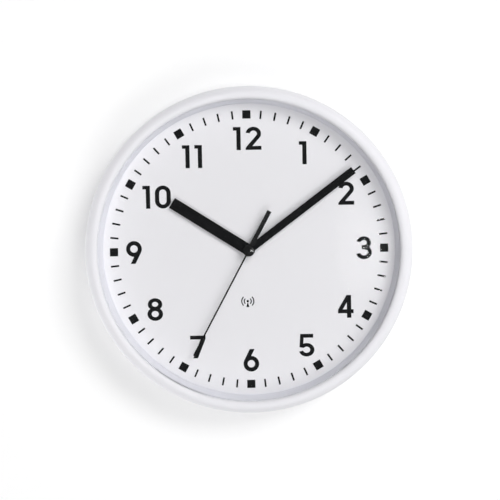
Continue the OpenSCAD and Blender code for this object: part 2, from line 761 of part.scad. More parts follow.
module minute_rotor() {
  color([0.3, 0.3, 0.32]) upright() rotor(m_rotor_at, m_rotor_phase, fine_module);
}

// Motion work: the cannon pinion drives the hour tube through the motion wheel
module motion_wheel() {
  color([0.96, 0.94, 0.85]) upright() on_post(motion_at)
    wheel_and_pinion(motion_teeth, coarse_module, motion_pinion, coarse_module,
                     motion_phase, layer_z(2), layer_z(1) + wheel_t + pinion_rise);
}

module hour_wheel() {
  color([0.96, 0.94, 0.85]) upright() difference() {
    union() {
      translate([0, 0, layer_z(1)]) wheel(hour_teeth, coarse_module, hour_phase, 3);
      translate([0, 0, layer_z(1)]) cylinder(r = hour_tube_r, h = hour_z + hand_t + 0.3 - layer_z(1));
    }
    translate([0, 0, layer_z(1) - cut]) cylinder(r = hour_bore_r, h = hour_z + 3 - layer_z(1));
  }
}

// Step motors: side is -1 for the seconds motor on the left and 1 for the minute motor
module stator(at, side) {
  arm_end = coil_x + core_w / 2;
  upright() translate([0, 0, stator_z]) linear_extrude(stator_t) difference() {
    union() {
      translate([at[0] - stator_w / 2, at[1] - arm_reach]) square([stator_w, 2 * arm_reach]);
      for (y = [-1, 1])
        translate([min(at[0], side * arm_end), at[1] + y * arm_offset - arm_half])
          square([abs(side * arm_end - at[0]), 2 * arm_half]);
    }
    translate(at) circle(rotor_hole_r);
    for (y = [-1, 1])
      translate([at[0] + side * 1.2, at[1] + y * arm_offset]) circle(spindle_r + 0.05);
  }
}

module core(at, side) {
  upright() translate([side * coil_x - core_w / 2, at[1] - arm_reach, core_z])
    cube([core_w, 2 * arm_reach, core_t]);
}

module coil(at, side) {
  half_l = arm_offset - 2.2;
  upright() translate([side * coil_x, at[1], coil_z]) rotate([90, 0, 0]) difference() {
    union() {
      translate([0, 0, -half_l]) cylinder(r = coil_r, h = 2 * half_l);
      for (z = [-half_l, half_l - 0.6])
        translate([0, 0, z]) cylinder(r = coil_r + coil_flange, h = 0.6);
    }
    translate([-core_w / 2 - 0.1, -core_t / 2 - 0.1, -half_l - cut])
      cube([core_w + 0.2, core_t + 0.2, 2 * half_l + 2 * cut]);
  }
}

module seconds_stator() { color("silver") stator(s_rotor_at, -1); }
module seconds_core() { color("silver") core(s_rotor_at, -1); }
module seconds_coil() { color("chocolate") coil(s_rotor_at, -1); }
module minute_stator() { color("silver") stator(m_rotor_at, 1); }
module minute_core() { color("silver") core(m_rotor_at, 1); }
module minute_coil() { color("chocolate") coil(m_rotor_at, 1); }

// Receiver board and what is soldered to it
module circuit_board() {
  color("darkgreen") upright() translate([board_x[0], board_y[0], board_z])
    cube([board_x[1] - board_x[0], board_y[1] - board_y[0], board_t]);
}

module control_chip() {
  color([0.1, 0.1, 0.1]) upright() translate([chip_at[0], chip_at[1], board_z + board_t]) rotate_extrude()
    polygon(concat([[0, 0]], arc(0, 0, chip_r, 1.1, 0, 90, 8)));
}

module quartz_crystal() {
  color("silver") upright() translate([crystal_at[0], crystal_at[1], board_z + board_t + 1])
    rotate([0, 90, 0]) cylinder(r = 1, h = crystal_l);
}

module button_switches() {
  color([0.2, 0.2, 0.2]) upright() for (p = button_at)
    translate([p[0], p[1], board_z - 0.6]) cylinder(r = 1.9, h = 0.6);
}

// Push buttons: cap, flange inside the housing and stem towards the switch
module push_button(at) {
  flange_z = inner_back + 0.25;
  stem_top = board_z - 0.6 - button_travel - 0.1;
  color([0.75, 0.75, 0.75]) upright() translate([at[0], at[1], 0]) {
    translate([0, 0, move_back - button_out]) cylinder(r = button_r, h = flange_z + 0.1 - move_back + button_out);
    translate([0, 0, flange_z]) cylinder(r = button_r + button_flange, h = button_flange_t);
    translate([0, 0, flange_z]) cylinder(r = 1, h = stem_top - flange_z);
  }
}

module set_button() { push_button(button_at[0]); }
module receive_button() { push_button(button_at[1]); }
module reset_button() { push_button(button_at[2]); }

module ferrite_rod() {
  color([0.25, 0.25, 0.27]) upright() translate([-ferrite_l / 2, antenna_y, antenna_z])
    rotate([0, 90, 0]) cylinder(r = ferrite_r, h = ferrite_l);
}

module antenna_coil() {
  color("chocolate") upright() translate([-antenna_l / 2, antenna_y, antenna_z]) rotate([0, 90, 0]) {
    ring(antenna_r, ferrite_r + 0.1, antenna_l);
    for (z = [0, antenna_l - 0.8])
      translate([0, 0, z]) ring(antenna_r + flange_rise, ferrite_r + 0.1, 0.8);
  }
}

// AA cell lying in the bay, its button to the right
module battery() {
  color("darkseagreen") upright() translate([cell_x, cell_y, cell_z]) rotate([0, 90, 0]) rotate_extrude()
    polygon([[0, 0], [cell_r - 1.2, 0], [cell_r - 1.2, 0.3], [cell_r, 0.3], [cell_r, cell_l - 1.6],
             [cell_r - 0.6, cell_l - 1], [2.7, cell_l - 1], [2.7, cell_l - 0.2], [2.5, cell_l], [0, cell_l]]);
}

module positive_contact() {
  color("silver") upright() translate([bay_end - contact_t, cell_y - contact_w / 2, cell_z - contact_w / 2])
    cube([contact_t, contact_w, contact_w]);
}

// Conical spring: one tube swept round a rising helix
spring_steps = 16;
spring_sides = 6;
function spring_radius(t) = 4.6 - 2 * t;
function spring_ring(t) =
  let (a = 360 * spring_turns * t, r = spring_radius(t), x = wire_r + (spring_l - 2 * wire_r) * t)
  [for (i = [0:spring_sides - 1]) let (b = 360 * i / spring_sides, q = r + wire_r * cos(b))
    [q * cos(a), q * sin(a), x + wire_r * sin(b)]];

module conical_spring() {
  n = spring_steps * spring_turns;
  points = [for (k = [0:n]) each spring_ring(k / n)];
  faces = concat(
    [[for (i = [spring_sides - 1:-1:0]) i]],
    [for (k = [0:n - 1], i = [0:spring_sides - 1])
      let (a = k * spring_sides + i, b = k * spring_sides + (i + 1) % spring_sides)
      each [[a, b, b + spring_sides], [a, b + spring_sides, a + spring_sides]]],
    [[for (i = [0:spring_sides - 1]) n * spring_sides + i]]
  );
  polyhedron(points, faces);
}

module negative_contact() {
  color("silver") upright() translate([-inner_w / 2, cell_y, cell_z]) {
    translate([0, -contact_w / 2, -contact_w / 2]) cube([contact_t, contact_w, contact_w]);
    translate([contact_t - 0.05, 0, 0]) rotate([0, 90, 0]) conical_spring();
  }
}

// Steel plate with the keyhole, screwed on two posts behind the top of the case
module hanger_plate() {
  color("silver") upright() translate([0, 0, hanger_z]) difference() {
    translate([0, hanger_y, 0]) linear_extrude(hanger_t) rounded_plate(2 * (hanger_x + hanger_side), hanger_h, 3);
    translate([0, hanger_y - key_l / 2, -cut]) cylinder(r = key_r, h = hanger_t + 2 * cut);
    translate([0, hanger_y + key_l / 2, -cut]) cylinder(r = key_slot_r, h = hanger_t + 2 * cut);
    translate([-key_slot_r, hanger_y - key_l / 2, -cut]) cube([2 * key_slot_r, key_l, hanger_t + 2 * cut]);
    for (x = [-1, 1])
      translate([x * hanger_x, hanger_y, -cut]) cylinder(r = screw_r + 0.1, h = hanger_t + 2 * cut);
  }
}

module hanger_screws() {
  color("silver") upright() for (x = [-1, 1])
    translate([x * hanger_x, hanger_y, hanger_z]) screw(hanger_t);
}

front_bezel();
lens();
rear_case();
dial();
dial_marks();
hour_hand();
minute_hand();
second_hand();
movement_front_shell();
movement_rear_shell();
middle_plate();
movement_screws();
seconds_wheel();
seconds_third_wheel();
seconds_rotor();
minute_wheel();
minute_third_wheel();
minute_first_wheel();
minute_rotor();
motion_wheel();
hour_wheel();
seconds_stator();
seconds_core();
seconds_coil();
minute_stator();
minute_core();
minute_coil();
circuit_board();
control_chip();
quartz_crystal();
button_switches();
set_button();
receive_button();
reset_button();
ferrite_rod();
antenna_coil();
battery();
positive_contact();
negative_contact();
hanger_plate();
hanger_screws();
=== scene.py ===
import math

import bmesh
import bpy
from mathutils import Matrix, Vector


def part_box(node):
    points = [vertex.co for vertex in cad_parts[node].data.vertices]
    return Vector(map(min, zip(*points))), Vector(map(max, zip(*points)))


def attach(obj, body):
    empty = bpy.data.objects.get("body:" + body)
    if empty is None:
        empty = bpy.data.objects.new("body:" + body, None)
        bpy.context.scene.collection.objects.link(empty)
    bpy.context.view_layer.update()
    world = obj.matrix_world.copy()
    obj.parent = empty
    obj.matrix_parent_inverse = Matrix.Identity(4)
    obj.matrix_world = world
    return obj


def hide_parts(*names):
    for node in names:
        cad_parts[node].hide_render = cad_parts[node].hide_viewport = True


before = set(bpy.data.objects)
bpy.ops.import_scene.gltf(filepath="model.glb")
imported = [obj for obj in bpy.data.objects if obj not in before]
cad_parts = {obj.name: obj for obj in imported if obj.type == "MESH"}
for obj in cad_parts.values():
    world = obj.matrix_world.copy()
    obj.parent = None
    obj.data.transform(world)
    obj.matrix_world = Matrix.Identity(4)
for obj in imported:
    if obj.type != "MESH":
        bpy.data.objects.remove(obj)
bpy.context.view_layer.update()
scene = bpy.context.scene
scene.view_settings.view_transform = "Standard"
mm = 0.001
print("frame loaded:", len(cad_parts), "solids")

# The clock faces -Y and hangs with its rim on the plane y = 0
camera = {
    "distance": 1.2,
    "azimuth": 1.0,
    "elevation": 4.2,
    "roll": -1.061,
    "aim": (0.00097, -0.03, 0.00034),
    "lens": 111.0,
    "near": 0.05,
    "far": 20,
}


def addNode(tree, kind, inputs=None, **settings):
    made = tree.nodes.new("ShaderNode" + kind)
    for key, value in settings.items():
        setattr(made, key, value)
    for key, value in (inputs or {}).items():
        if isinstance(value, bpy.types.NodeSocket):
            tree.links.new(value, made.inputs[key])
        else:
            made.inputs[key].default_value = value
    return made


def emptyMaterial(name):
    material = bpy.data.materials.new(name)
    material.use_nodes = True
    tree = material.node_tree
    tree.nodes.clear()
    return material, tree


def mathNode(tree, operation, a, b):
    made = addNode(tree, "Math", {0: a, 1: b}, operation=operation)
    return made.outputs[0]


# Camera
def buildCamera():
    a = math.radians(camera["azimuth"])
    e = math.radians(camera["elevation"])
    roll = math.radians(camera["roll"])
    back = Vector((math.sin(a) * math.cos(e), -math.cos(a) * math.cos(e), math.sin(e)))
    right = Vector((math.cos(a), math.sin(a), 0))
    up = back.cross(right)
    turnedRight = right * math.cos(roll) + up * math.sin(roll)
    turnedUp = up * math.cos(roll) - right * math.sin(roll)
    data = bpy.data.cameras.new("camera")
    data.lens = camera["lens"]
    data.sensor_width = 36
    data.clip_start = camera["near"]
    data.clip_end = camera["far"]
    eye = bpy.data.objects.new("camera", data)
    turn = Matrix((turnedRight, turnedUp, back)).transposed().to_4x4()
    eye.matrix_world = Matrix.Translation(Vector(camera["aim"]) + back * camera["distance"]) @ turn
    scene.collection.objects.link(eye)
    scene.camera = eye


buildCamera()


# The sky is brighter behind the clock, where a white wall would throw light back.
# Power is in watts, and only a lamp with a glint shows in gloss
light = {
    "skyFront": 0.17,
    "skyBehind": 0.92,
    "skyBlend": 0.1,
    "lamps": {
        "frontLamp": {"place": (0.00, -4.95, 0.70), "size": 3.0, "power": 25, "glint": False},
        "rightLamp": {"place": (3.82, -3.21, 0.35), "size": 2.6, "power": 33, "glint": False},
        "keyLamp": {"place": (2.32, -3.71, 2.42), "size": 2.4, "power": 122, "glint": False},
        "lowLamp": {"place": (1.09, -3.79, -3.08), "size": 2.8, "power": 70, "glint": False},
        "sideLamp": {"place": (-4.50, 0.40, -1.60), "size": 2.4, "power": 108, "glint": False},
        "capLamp": {"place": (0.42, -4.97, -0.37), "size": 0.32, "power": 14, "glint": True},
    },
}


def seenDirectly(tree):
    rays = addNode(tree, "LightPath")
    glossy, through = rays.outputs["Is Glossy Ray"], rays.outputs["Is Transmission Ray"]
    bounced = mathNode(tree, "MAXIMUM", glossy, through)
    return mathNode(tree, "MAXIMUM", rays.outputs["Is Camera Ray"], bounced)


def buildWorld():
    world = bpy.data.worlds.new("studio")
    scene.world = world
    world.use_nodes = True
    tree = world.node_tree
    tree.nodes.clear()
    way = addNode(tree, "SeparateXYZ", {0: addNode(tree, "TexCoord").outputs["Generated"]})
    soft = addNode(tree, "MapRange", {
        "Value": way.outputs["Y"], "From Min": -light["skyBlend"], "From Max": light["skyBlend"],
        "To Min": light["skyFront"], "To Max": light["skyBehind"]})
    span = addNode(tree, "MapRange", {
        "Value": seenDirectly(tree), "To Min": soft.outputs[0], "To Max": 1.0})
    sky = addNode(tree, "Background", {"Color": (1, 1, 1, 1), "Strength": span.outputs[0]})
    addNode(tree, "OutputWorld", {"Surface": sky.outputs[0]})


def buildLamps():
    for name, lamp in light["lamps"].items():
        data = bpy.data.lights.new(name, "AREA")
        data.size = lamp["size"]
        data.energy = lamp["power"]
        place = Vector(lamp["place"])
        softbox = bpy.data.objects.new(name, data)
        softbox.location = place
        softbox.rotation_euler = (-place).to_track_quat("-Z", "Y").to_euler()
        softbox.visible_camera = False
        softbox.visible_glossy = lamp["glint"]
        scene.collection.objects.link(softbox)


# The wall and the floor show to the camera from their front only, and the light passes them.
# Beyond the fade they turn into the plain white background
stage = {
    "half": 3.0,
    "wallPlane": 0.0005,
    "floorHeight": -0.30,
    "tone": 0.95,
    "mottle": 0.004,
    "mottleScale": 3.0,
    "lift": 0.13,
    "fadeFrom": 0.7,
    "fadeTo": 1.5,
}


def stageMaterial():
    material, tree = emptyMaterial("paleWall")
    place = addNode(tree, "TexCoord")
    mottle = addNode(tree, "TexNoise", {
        "Vector": place.outputs["Object"], "Scale": stage["mottleScale"], "Detail": 2.0})
    tone = addNode(tree, "MapRange", {
        "Value": mottle.outputs[0],
        "To Min": stage["tone"] - stage["mottle"], "To Max": stage["tone"] + stage["mottle"]})
    matt = addNode(tree, "BsdfDiffuse", {"Color": tone.outputs[0]})
    lift = addNode(tree, "Emission", {"Color": (1, 1, 1, 1), "Strength": stage["lift"]})
    lit = addNode(tree, "AddShader", {0: matt.outputs[0], 1: lift.outputs[0]})
    reach = addNode(tree, "VectorMath", {0: place.outputs["Object"]}, operation="LENGTH")
    far = addNode(tree, "MapRange", {
        "Value": reach.outputs["Value"], "From Min": stage["fadeFrom"], "From Max": stage["fadeTo"]},
        interpolation_type="SMOOTHSTEP")
    white = addNode(tree, "Emission", {"Color": (1, 1, 1, 1), "Strength": 1.0})
    faded = addNode(tree, "MixShader", {0: far.outputs[0], 1: lit.outputs[0], 2: white.outputs[0]})
    rays = addNode(tree, "LightPath")
    side = addNode(tree, "NewGeometry")
    front = mathNode(tree, "SUBTRACT", 1.0, side.outputs["Backfacing"])
    shown = mathNode(tree, "MULTIPLY", rays.outputs["Is Camera Ray"], front)
    clear = addNode(tree, "BsdfTransparent")
    both = addNode(tree, "MixShader", {0: shown, 1: clear.outputs[0], 2: faded.outputs[0]})
    addNode(tree, "OutputMaterial", {"Surface": both.outputs[0]})
    return material


def buildStage():
    material = stageMaterial()
    for name, place, turn in (
        ("wall", (0, stage["wallPlane"], 0), Matrix.Rotation(math.pi / 2, 4, "X")),
        ("floor", (0, 0, stage["floorHeight"]), Matrix.Identity(4)),
    ):
        mesh = bpy.data.meshes.new(name)
        bm = bmesh.new()
        bmesh.ops.create_grid(bm, x_segments=1, y_segments=1, size=stage["half"])
        bm.transform(Matrix.Translation(place) @ turn)
        bm.to_mesh(mesh)
        bm.free()
        mesh.materials.append(material)
        plane = bpy.data.objects.new(name, mesh)
        scene.collection.objects.link(plane)


buildWorld()
buildLamps()
buildStage()
print("camera, light and wall are set")


# Moulded plastics: colour, spread of tone, roughness, and the grain's size and depth in mm
plasticFinishes = {
    "bezelWhite": {
        "colour": (0.85, 0.845, 0.88), "spread": 0.010, "rough": 0.34, "grain": 1.6, "depth": 0.006},
    "caseWhite": {
        "colour": (0.85, 0.853, 0.91), "spread": 0.014, "rough": 0.46, "grain": 0.35, "depth": 0.010},
    "dialWhite": {
        "colour": (0.885, 0.878, 0.905), "spread": 0.008, "rough": 0.72, "grain": 0.22, "depth": 0.003},
    "printBlack": {
        "colour": (0.004, 0.004, 0.0043), "spread": 0.25, "rough": 0.55, "grain": 0.15, "depth": 0.002,
        "shine": 0.08},
    "handBlack": {
        "colour": (0.0028, 0.0028, 0.003), "spread": 0.25, "rough": 0.42, "grain": 0.20, "depth": 0.004,
        "shine": 0.05},
    "capBlack": {
        "colour": (0.003, 0.003, 0.0033), "spread": 0.2, "rough": 0.12, "grain": 0.5, "depth": 0.001,
        "shine": 0.12},
    "movementBlack": {
        "colour": (0.018, 0.018, 0.020), "spread": 0.15, "rough": 0.52, "grain": 0.28, "depth": 0.018},
    "signWhite": {
        "colour": (0.55, 0.55, 0.54), "spread": 0.05, "rough": 0.6, "grain": 0.2, "depth": 0.006},
    "plateGrey": {
        "colour": (0.62, 0.62, 0.59), "spread": 0.03, "rough": 0.45, "grain": 0.5, "depth": 0.008},
    "gearAcetal": {
        "colour": (0.85, 0.81, 0.68), "spread": 0.03, "rough": 0.33, "grain": 0.6, "depth": 0.005},
    "rotorMagnet": {
        "colour": (0.045, 0.045, 0.05), "spread": 0.20, "rough": 0.48, "grain": 0.12, "depth": 0.012},
    "chipResin": {
        "colour": (0.012, 0.012, 0.013), "spread": 0.2, "rough": 0.5, "grain": 0.1, "depth": 0.006},
    "ferriteGrey": {
        "colour": (0.035, 0.035, 0.038), "spread": 0.2, "rough": 0.62, "grain": 0.3, "depth": 0.02},
    "buttonGrey": {
        "colour": (0.48, 0.48, 0.48), "spread": 0.03, "rough": 0.42, "grain": 0.3, "depth": 0.008},
}
plasticWear = {"cloudScale": 22.0, "sheenScale": 130.0, "glossSwing": 0.05, "shine": 0.5}

# Drawn, rolled and plated metals: the stretch runs the fine lines along one axis
metalFinishes = {
    "arborSteel": {"colour": (0.62, 0.63, 0.64), "rough": 0.26, "stretch": (1, 1, 12), "lines": 375},
    "plateSteel": {"colour": (0.56, 0.57, 0.58), "rough": 0.34, "stretch": (1, 6, 14), "lines": 105},
    "lamination": {"colour": (0.40, 0.41, 0.43), "rough": 0.42, "stretch": (1, 14, 1), "lines": 125},
    "contactNickel": {"colour": (0.66, 0.64, 0.58), "rough": 0.24, "stretch": (8, 1, 1), "lines": 175},
}
metalWear = {"smearScale": 160.0, "duller": 0.09, "brighter": 0.07, "spread": 0.06, "depth": 0.004}


def tintRange(tree, colour, spread, noise):
    low = tuple(c * (1 - spread) for c in colour) + (1,)
    high = tuple(min(c * (1 + spread), 1) for c in colour) + (1,)
    mixed = addNode(tree, "Mix", {0: noise}, data_type="RGBA")
    mixed.inputs[6].default_value = low
    mixed.inputs[7].default_value = high
    return mixed.outputs[2]


def plastic(name):
    finish = plasticFinishes[name]
    material, tree = emptyMaterial(name)
    place = addNode(tree, "TexCoord").outputs["Object"]
    cloud = addNode(tree, "TexNoise", {
        "Vector": place, "Scale": plasticWear["cloudScale"], "Detail": 3.0, "Roughness": 0.6})
    sheen = addNode(tree, "TexNoise", {
        "Vector": place, "Scale": plasticWear["sheenScale"], "Detail": 4.0})
    grain = addNode(tree, "TexNoise", {
        "Vector": place, "Scale": 1 / (finish["grain"] * mm), "Detail": 3.0, "Roughness": 0.55})
    gloss = addNode(tree, "MapRange", {
        "Value": sheen.outputs[0], "To Min": finish["rough"] - plasticWear["glossSwing"],
        "To Max": finish["rough"] + plasticWear["glossSwing"]})
    bump = addNode(tree, "Bump", {
        "Strength": 1.0, "Distance": finish["depth"] * mm, "Height": grain.outputs[0]})
    shader = addNode(tree, "BsdfPrincipled", {
        "Base Color": tintRange(tree, finish["colour"], finish["spread"], cloud.outputs[0]),
        "Roughness": gloss.outputs[0], "Normal": bump.outputs[0],
        "Specular IOR Level": finish.get("shine", plasticWear["shine"])})
    addNode(tree, "OutputMaterial", {"Surface": shader.outputs[0]})
    return material


def metal(name):
    finish = metalFinishes[name]
    material, tree = emptyMaterial(name)
    place = addNode(tree, "TexCoord").outputs["Object"]
    drawn = addNode(tree, "Mapping", {"Vector": place, "Scale": finish["stretch"]})
    lines = addNode(tree, "TexNoise", {
        "Vector": drawn.outputs[0], "Scale": finish["lines"], "Detail": 5.0})
    smear = addNode(tree, "TexNoise", {
        "Vector": place, "Scale": metalWear["smearScale"], "Detail": 2.0})
    gloss = addNode(tree, "MapRange", {
        "Value": smear.outputs[0], "To Min": finish["rough"] - metalWear["brighter"],
        "To Max": finish["rough"] + metalWear["duller"]})
    bump = addNode(tree, "Bump", {
        "Strength": 0.6, "Distance": metalWear["depth"] * mm, "Height": lines.outputs[0]})
    tone = tintRange(tree, finish["colour"], metalWear["spread"], lines.outputs[0])
    shader = addNode(tree, "BsdfPrincipled", {
        "Base Color": tone, "Metallic": 1.0,
        "Roughness": gloss.outputs[0], "Normal": bump.outputs[0]})
    addNode(tree, "OutputMaterial", {"Surface": shader.outputs[0]})
    return material


# Enamelled wire: turns lie side by side along one axis of the coil, a pitch in mm apart
coilWire = {
    "pitch": 0.16, "colour": (0.55, 0.20, 0.07), "spread": 0.25, "rough": 0.28, "metallic": 0.85,
    "depth": 0.04, "layerScale": 700.0, "waveLength": 0.314,  # a band's width at a wave scale of 1
}


def winding(name, axis):
    material, tree = emptyMaterial(name)
    place = addNode(tree, "TexCoord").outputs["Object"]
    turns = addNode(tree, "TexWave", {
        "Vector": place, "Scale": coilWire["waveLength"] / (coilWire["pitch"] * mm),
        "Distortion": 0.4, "Detail": 1.0}, bands_direction=axis, wave_profile="SIN")
    layer = addNode(tree, "TexNoise", {"Vector": place, "Scale": coilWire["layerScale"], "Detail": 2.0})
    bump = addNode(tree, "Bump", {
        "Strength": 1.0, "Distance": coilWire["depth"] * mm, "Height": turns.outputs[1]})
    shader = addNode(tree, "BsdfPrincipled", {
        "Base Color": tintRange(tree, coilWire["colour"], coilWire["spread"], layer.outputs[0]),
        "Metallic": coilWire["metallic"], "Roughness": coilWire["rough"], "Normal": bump.outputs[0]})
    addNode(tree, "OutputMaterial", {"Surface": shader.outputs[0]})
    return material


# A clear pane: it shows by its reflection only, and more towards its edge-on view
lensPane = {
    "facing": 0.012, "edge": 0.75, "falloff": 4.0,
    "colour": (0.12, 0.14, 0.15, 1), "rough": 0.03, "rippleScale": 9.0, "rippleDepth": 0.02,
}


def clearPane(name):
    material, tree = emptyMaterial(name)
    place = addNode(tree, "TexCoord").outputs["Object"]
    ripple = addNode(tree, "TexNoise", {
        "Vector": place, "Scale": lensPane["rippleScale"], "Detail": 1.0})
    bump = addNode(tree, "Bump", {
        "Strength": 0.3, "Distance": lensPane["rippleDepth"] * mm, "Height": ripple.outputs[0]})
    tilt = addNode(tree, "LayerWeight", {"Blend": 0.5})
    steep = mathNode(tree, "POWER", tilt.outputs["Facing"], lensPane["falloff"])
    share = addNode(tree, "MapRange", {
        "Value": steep, "To Min": lensPane["facing"], "To Max": lensPane["edge"]})
    shine = addNode(tree, "BsdfPrincipled", {
        "Base Color": lensPane["colour"], "Roughness": lensPane["rough"],
        "Normal": bump.outputs[0]})
    clear = addNode(tree, "BsdfTransparent")
    both = addNode(tree, "MixShader", {0: share.outputs[0], 1: clear.outputs[0], 2: shine.outputs[0]})
    addNode(tree, "OutputMaterial", {"Surface": both.outputs[0]})
    return material


# Cell sleeve: a plain two-tone print between bare metal ends, with its edges in mm along the cell
cell = {
    "start": -24.35, "band": 13.5, "end": 24.3,
    "body": (0.035, 0.20, 0.12), "stripe": (0.62, 0.63, 0.62), "metal": (0.70, 0.70, 0.68),
    "wrapMetallic": 0.25, "rough": (0.26, 0.36), "wearScale": 240.0, "wearDepth": 0.01,
}


def sleeve(name):
    material, tree = emptyMaterial(name)
    place = addNode(tree, "TexCoord").outputs["Object"]
    along = addNode(tree, "SeparateXYZ", {0: place}).outputs[0]
    printed = mathNode(tree, "MULTIPLY",
                       mathNode(tree, "GREATER_THAN", along, cell["start"] * mm),
                       mathNode(tree, "LESS_THAN", along, cell["end"] * mm))
    stripe = mathNode(tree, "GREATER_THAN", along, cell["band"] * mm)
    wear = addNode(tree, "TexNoise", {"Vector": place, "Scale": cell["wearScale"], "Detail": 3.0})
    body = tintRange(tree, cell["body"], 0.06, wear.outputs[0])
    top = tintRange(tree, cell["stripe"], 0.05, wear.outputs[0])
    bare = tintRange(tree, cell["metal"], 0.08, wear.outputs[0])
    wrap = addNode(tree, "Mix", {0: stripe, 6: body, 7: top}, data_type="RGBA").outputs[2]
    shown = addNode(tree, "Mix", {0: printed, 6: bare, 7: wrap}, data_type="RGBA").outputs[2]
    shine = addNode(tree, "MapRange", {"Value": printed, "To Min": 1.0, "To Max": cell["wrapMetallic"]})
    gloss = addNode(tree, "MapRange", {
        "Value": wear.outputs[0], "To Min": cell["rough"][0], "To Max": cell["rough"][1]})
    bump = addNode(tree, "Bump", {
        "Strength": 0.5, "Distance": cell["wearDepth"] * mm, "Height": wear.outputs[0]})
    shader = addNode(tree, "BsdfPrincipled", {
        "Base Color": shown, "Metallic": shine.outputs[0], "Roughness": gloss.outputs[0],
        "Normal": bump.outputs[0]})
    addNode(tree, "OutputMaterial", {"Surface": shader.outputs[0]})
    return material


# Solder mask over traces: the lanes between them start and end at these shares of a cell
board = {
    "mask": (0.012, 0.10, 0.045), "trace": (0.035, 0.22, 0.09), "rough": 0.30,
    "pitch": 1.3, "laneFrom": 0.42, "laneTo": 0.5, "depth": 0.03,
}


def solderMask(name):
    material, tree = emptyMaterial(name)
    place = addNode(tree, "TexCoord").outputs["Object"]
    paths = addNode(tree, "TexVoronoi", {"Vector": place, "Scale": 1 / (board["pitch"] * mm)},
                    distance="MANHATTAN", feature="F1")
    lanes = addNode(tree, "MapRange", {
        "Value": paths.outputs[0], "From Min": board["laneFrom"], "From Max": board["laneTo"]})
    tone = addNode(tree, "Mix", {
        0: lanes.outputs[0], 6: board["trace"] + (1,), 7: board["mask"] + (1,)}, data_type="RGBA")
    bump = addNode(tree, "Bump", {
        "Strength": 0.6, "Distance": board["depth"] * mm, "Height": lanes.outputs[0]}, invert=True)
    shader = addNode(tree, "BsdfPrincipled", {
        "Base Color": tone.outputs[2], "Roughness": board["rough"], "Normal": bump.outputs[0]})
    addNode(tree, "OutputMaterial", {"Surface": shader.outputs[0]})
    return material


materials = {name: plastic(name) for name in plasticFinishes}
materials.update({name: metal(name) for name in metalFinishes})
materials["wireUpright"] = winding("wireUpright", "Z")
materials["wireAcross"] = winding("wireAcross", "X")
materials["clearPane"] = clearPane("clearPane")
materials["cellSleeve"] = sleeve("cellSleeve")
materials["solderMask"] = solderMask("solderMask")

finishOf = {
    "bezelWhite": ["front_bezel"],
    "caseWhite": ["rear_case"],
    "clearPane": ["lens"],
    "dialWhite": ["dial"],
    "printBlack": ["dial_marks"],
    "handBlack": ["hour_hand", "minute_hand"],
    "capBlack": ["second_hand"],
    "movementBlack": ["movement_front_shell", "movement_rear_shell"],
    "plateGrey": ["middle_plate"],
    "gearAcetal": ["seconds_wheel", "seconds_third_wheel", "minute_wheel", "minute_third_wheel",
                   "minute_first_wheel", "motion_wheel", "hour_wheel"],
    "rotorMagnet": ["seconds_rotor", "minute_rotor"],
    "lamination": ["seconds_stator", "minute_stator", "seconds_core", "minute_core"],
    "wireUpright": ["seconds_coil", "minute_coil"],
    "wireAcross": ["antenna_coil"],
    "ferriteGrey": ["ferrite_rod"],
    "solderMask": ["circuit_board"],
    "chipResin": ["control_chip", "button_switches"],
    "arborSteel": ["quartz_crystal", "movement_screws", "hanger_screws"],
    "plateSteel": ["hanger_plate"],
    "contactNickel": ["positive_contact", "negative_contact"],
    "cellSleeve": ["battery"],
    "buttonGrey": ["set_button", "receive_button", "reset_button"],
}


def dress(piece, material):
    piece.data.materials.clear()
    piece.data.materials.append(material)


for finish, members in finishOf.items():
    for member in members:
        dress(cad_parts[member], materials[finish])
print("finishes are on", sum(len(m) for m in finishOf.values()), "solids")

# Printed numerals. The ink is sunk in the dial and stands proud of it by parts of a mm, and each
# numeral has its centre on the dial in mm
ink = {
    "sunk": 0.02,
    "proud": 0.06,
    "gap": 3.8,
    "curveSteps": 18,
    "centres": {
        1: (43.3, 75.1), 2: (76.6, 43.0), 3: (89.9, 0.2), 4: (75.0, -45.6),
        5: (44.0, -75.7), 6: (0.3, -86.9), 7: (-41.4, -75.7), 8: (-74.4, -45.6),
        9: (-89.9, -0.4), 10: (-71.2, 42.6), 11: (-42.9, 73.6), 12: (0.3, 87.0),
    },
}


def arc(x, y, radiusX, radiusY, start, end):
    steps = ink["curveSteps"]
    points = []
    for i in range(steps + 1):
        a = math.radians(start + (end - start) * i / steps)
        points.append((x + radiusX * math.cos(a), y + radiusY * math.sin(a)))
    return points


def turned(loops):
    return [[(-x, -y) for x, y in loop] for loop in loops]


